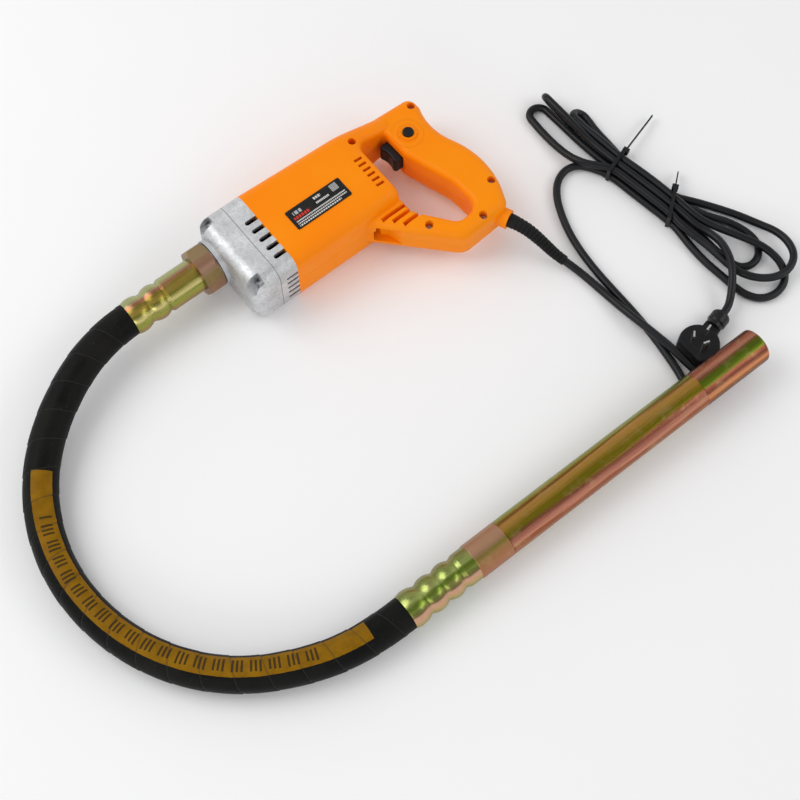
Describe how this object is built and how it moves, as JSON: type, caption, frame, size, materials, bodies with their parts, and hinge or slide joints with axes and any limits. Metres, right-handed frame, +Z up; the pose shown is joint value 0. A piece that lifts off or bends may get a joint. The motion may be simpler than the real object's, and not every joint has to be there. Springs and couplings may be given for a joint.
{
  "type": "concrete vibrator",
  "caption": "Hand-held electric concrete vibrator with an orange D-handle motor housing, a rubber-hosed flexible shaft, a plated steel poker and a tied mains cord.",
  "frame": {"origin": "on the flat side of the right housing half, below the motor, at floor level", "axes": "+X along the motor axis towards the D handle, +Y the tool's own up, +Z up from the floor the tool lies on"},
  "size_m": [0.7703, 0.4347, 0.0709],
  "materials": {
    "orange_plastic": "satin",
    "cast_aluminium": "satin",
    "plated_steel": "satin",
    "hose_rubber": "matte",
    "cord_rubber": "satin",
    "black_rubber": "matte",
    "black_plastic": "satin",
    "label": "satin",
    "steel": "satin",
    "lamination": "matte",
    "copper": "satin",
    "brass": "satin",
    "carbon": "matte",
    "nickel": "polished"
  },
  "bodies": {
    "tool": {"armature_outer_races": "steel", "bearing_bracket": "cast_aluminium", "brush_holders": "brass", "cable_tie_lower": "black_plastic", "cable_tie_upper": "black_plastic", "clamp_screws": "steel", "cord_clamp": "black_plastic", "cord_hank": "cord_rubber", "cord_lead": "cord_rubber", "cord_tail": "cord_rubber", "coupling_nut": "plated_steel", "cover_screws": "steel", "field_coils": "copper", "flexible_core": "steel", "gear_cover": "cast_aluminium", "hose": "hose_rubber", "housing_screws": "steel", "inner_lead": "cord_rubber", "left_housing": "orange_plastic", "lock_spring": "steel", "lower_brush_spring": "steel", "nameplate": "label", "plug_body": "black_plastic", "plug_boot": "cord_rubber", "plug_pins": "nickel", "poker_connector": "plated_steel", "poker_ferrule": "plated_steel", "poker_outer_races": "steel", "poker_seal": "black_rubber", "poker_tip": "plated_steel", "poker_tube": "plated_steel", "rear_ferrule": "plated_steel", "right_housing": "orange_plastic", "spindle_outer_races": "steel", "spindle_seal": "black_rubber", "stator_core": "lamination", "strain_relief": "cord_rubber", "switch_body": "black_plastic", "upper_brush_spring": "steel"},
    "armature": {"armature_shaft": "steel", "armature_core": "lamination", "armature_windings": "copper", "commutator": "copper", "cooling_fan": "black_plastic", "armature_inner_races": "steel"},
    "output_spindle": {"drive_gear": "steel", "spindle": "steel", "spindle_inner_races": "steel", "drive_fitting": "steel"},
    "rotor": {"eccentric_rotor": "steel", "poker_inner_races": "steel", "rotor_fitting": "steel"},
    "trigger_lever": {"trigger": "black_plastic"},
    "lock_on_button": {"lock_button": "black_plastic"},
    "brush_above": {"upper_brush": "carbon"},
    "brush_below": {"lower_brush": "carbon"}
  },
  "joints": [
    {"name": "armature_spin", "type": "hinge", "parent": "tool", "child": "armature", "pos_m": [0, -0.006, 0.035], "axis": [1, 0, 0], "continuous": true},
    {"name": "spindle_spin", "type": "hinge", "parent": "tool", "child": "output_spindle", "pos_m": [-0.09, 0.021, 0.035], "axis": [1, 0, 0], "continuous": true},
    {"name": "eccentric_spin", "type": "hinge", "parent": "tool", "child": "rotor", "pos_m": [0.04388, -0.36184, 0.02354], "axis": [0.9995, -0.0174, 0.0279], "continuous": true},
    {"name": "trigger_pull", "type": "slide", "parent": "tool", "child": "trigger_lever", "axis": [1, 0, 0], "range_m": [0, 0.006], "stiffness_N_per_m": 800, "springref_m": -0.003},
    {"name": "lock_press", "type": "slide", "parent": "tool", "child": "lock_on_button", "axis": [0, 0, -1], "range_m": [0, 0.0035], "stiffness_N_per_m": 500, "springref_m": -0.002, "deforming": ["lock_spring"]},
    {"name": "upper_brush_slide", "type": "slide", "parent": "tool", "child": "brush_above", "axis": [0, 0, 1], "range_m": [0, 0.004], "stiffness_N_per_m": 300, "springref_m": -0.006, "deforming": ["upper_brush_spring"]},
    {"name": "lower_brush_slide", "type": "slide", "parent": "tool", "child": "brush_below", "axis": [0, 0, -1], "range_m": [0, 0.004], "stiffness_N_per_m": 300, "springref_m": -0.006, "deforming": ["lower_brush_spring"]}
  ],
  "couplings": [
    {"joint": "spindle_spin", "follows": "armature_spin", "ratio": -0.17391},
    {"joint": "eccentric_spin", "follows": "armature_spin", "ratio": 0.17391}
  ]
}
